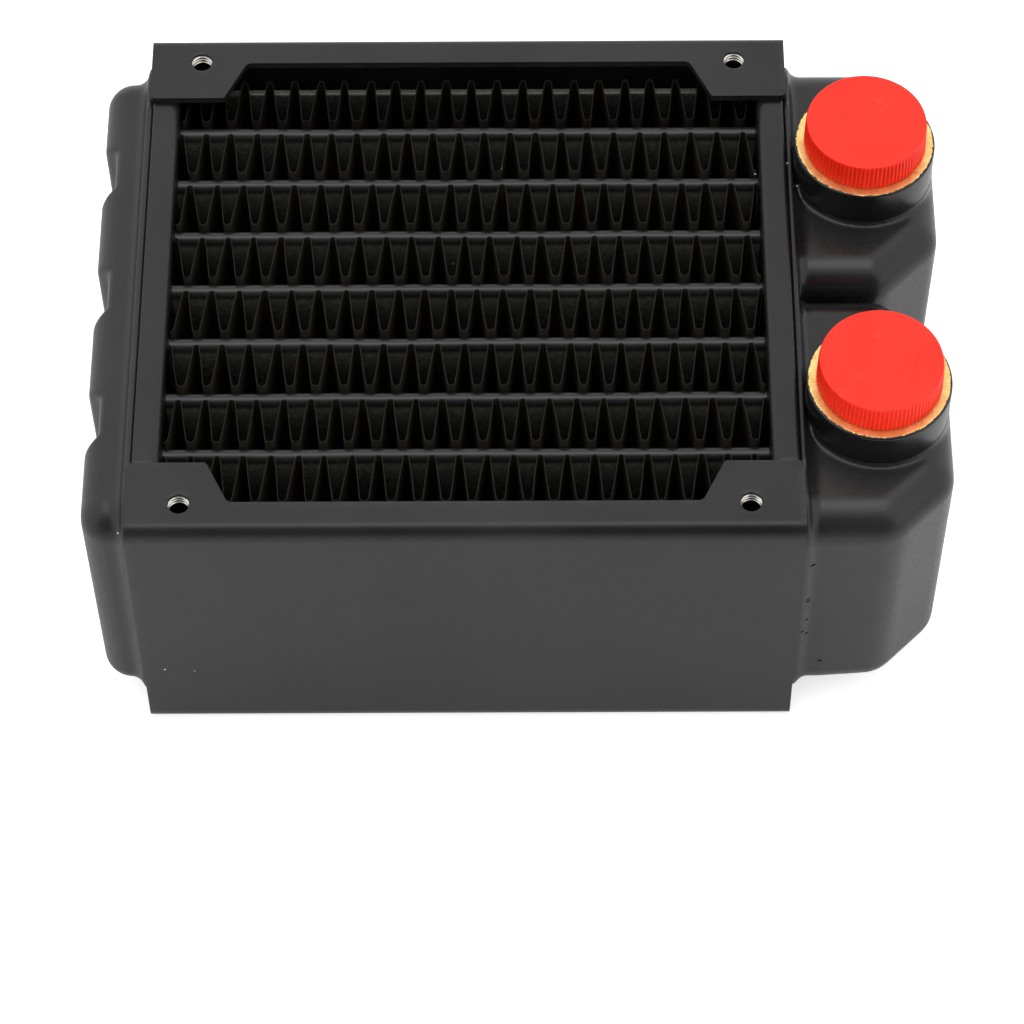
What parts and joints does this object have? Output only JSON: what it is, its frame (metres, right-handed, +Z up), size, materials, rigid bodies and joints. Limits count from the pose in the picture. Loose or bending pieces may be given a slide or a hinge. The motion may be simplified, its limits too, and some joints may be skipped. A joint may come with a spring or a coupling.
{
  "type": "liquid cooling radiator",
  "caption": "Compact liquid cooling radiator: finned flat-tube core between two drawn end tanks, black painted frame with screw tabs, threaded coolant ports closed by red fluted plugs.",
  "frame": {"origin": "centre of the bottom screw pattern, on the bottom flange face", "axes": "+X towards the port tank, +Z up towards the fan face the ports stand on, +Y towards the rear side plate"},
  "size_m": [0.1108, 0.0804, 0.0521],
  "materials": {
    "black_frame": "satin black powder coat",
    "black_tank": "satin black powder coat over drawn brass",
    "black_core": "thin satin black paint over brass",
    "fin_copper": "thin matte black paint over copper foil",
    "bare_brass": "turned, bare on the sealing ring",
    "red_plastic": "moulded, satin",
    "seal_rubber": "matte"
  },
  "bodies": {
    "radiator": {"side_plate_front": "black_frame", "side_plate_rear": "black_frame", "header_plate_left": "black_frame", "header_plate_right": "black_frame", "return_tank": "black_tank", "port_tank": "black_tank", "tank_divider": "bare_brass", "flat_tube_1": "black_core", "flat_tube_2": "black_core", "flat_tube_3": "black_core", "flat_tube_4": "black_core", "flat_tube_5": "black_core", "flat_tube_6": "black_core", "flat_tube_7": "black_core", "fin_strip_1": "fin_copper", "fin_strip_2": "fin_copper", "fin_strip_3": "fin_copper", "fin_strip_4": "fin_copper", "fin_strip_5": "fin_copper", "fin_strip_6": "fin_copper", "fin_strip_7": "fin_copper", "fin_strip_8": "fin_copper", "core_end_plate_front": "black_core", "core_end_plate_rear": "black_core", "port_boss_front": "bare_brass", "port_boss_rear": "bare_brass"},
    "seal_front": {"plug_seal_front": "seal_rubber"},
    "plug_front": {"port_plug_front": "red_plastic"},
    "seal_rear": {"plug_seal_rear": "seal_rubber"},
    "plug_rear": {"port_plug_rear": "red_plastic"}
  },
  "joints": [
    {"name": "plug_front_lift", "type": "slide", "parent": "radiator", "child": "seal_front", "axis": [0, 0, 1], "range_m": [0, 0.00535]},
    {"name": "plug_front_turn", "type": "hinge", "parent": "seal_front", "child": "plug_front", "pos_m": [0.0523, -0.0192, 0.0479], "axis": [0, 0, 1], "range_deg": [0, 1440]},
    {"name": "plug_rear_lift", "type": "slide", "parent": "radiator", "child": "seal_rear", "axis": [0, 0, 1], "range_m": [0, 0.00535]},
    {"name": "plug_rear_turn", "type": "hinge", "parent": "seal_rear", "child": "plug_rear", "pos_m": [0.0523, 0.0192, 0.0479], "axis": [0, 0, 1], "range_deg": [0, 1440]}
  ],
  "couplings": [
    {"joint": "plug_front_turn", "follows": "plug_front_lift", "rad_per_m": 4699.5},
    {"joint": "plug_rear_turn", "follows": "plug_rear_lift", "rad_per_m": 4699.5}
  ]
}
